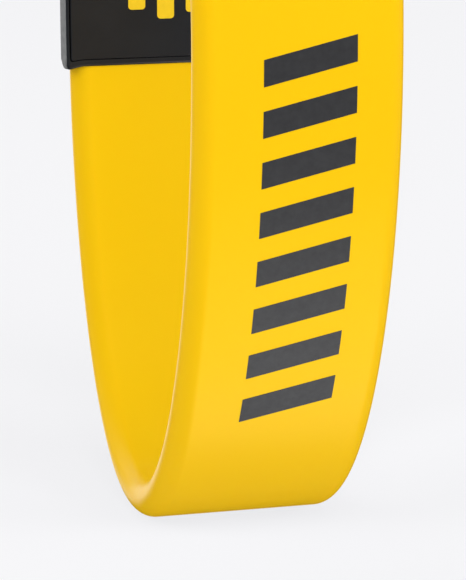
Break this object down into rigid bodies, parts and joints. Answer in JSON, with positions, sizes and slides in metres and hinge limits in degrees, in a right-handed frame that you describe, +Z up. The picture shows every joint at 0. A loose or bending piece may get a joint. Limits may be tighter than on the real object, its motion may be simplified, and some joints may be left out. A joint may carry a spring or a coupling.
{
  "type": "silicone wristband",
  "caption": "Flat silicone wristband standing as an upright oval loop, closed by a black sleeve clasp: a tongue on one end plugs into it and magnets hold it.",
  "frame": {"origin": "on the surface the band stands on, under the middle of its bounding box", "axes": "+X across the band's width, +Y from the near wall through the loop to the wall with the clasp, +Z up"},
  "size_m": [0.0198, 0.0494, 0.0896],
  "materials": {
    "band_silicone": "satin",
    "clasp_plastic": "satin",
    "insert_plastic": "matte",
    "magnet_nickel": "polished",
    "steel": "brushed",
    "print_ink": "matte",
    "panel_ink": "matte"
  },
  "bodies": {
    "lower_arm": {"strap_lower": "band_silicone", "tongue_plate": "insert_plastic", "tongue_magnet_1": "magnet_nickel", "tongue_magnet_2": "magnet_nickel"},
    "upper_arm": {"strap_upper": "band_silicone", "anchor_plate": "insert_plastic", "anchor_pin_1": "steel", "anchor_pin_2": "steel", "clasp_shell": "clasp_plastic", "clasp_cover": "clasp_plastic", "clasp_magnet_1": "magnet_nickel", "clasp_magnet_2": "magnet_nickel", "magnet_keeper": "steel", "cover_screw_1": "steel", "cover_screw_2": "steel", "cover_screw_3": "steel", "cover_screw_4": "steel"}
  },
  "joints": [
    {"name": "band_flex", "type": "hinge", "parent": "lower_arm", "child": "upper_arm", "pos_m": [0, -0.02472, 0.04314], "axis": [1, 0, 0], "range_deg": [0, 75], "stiffness_Nm_per_rad": 0.005}
  ]
}
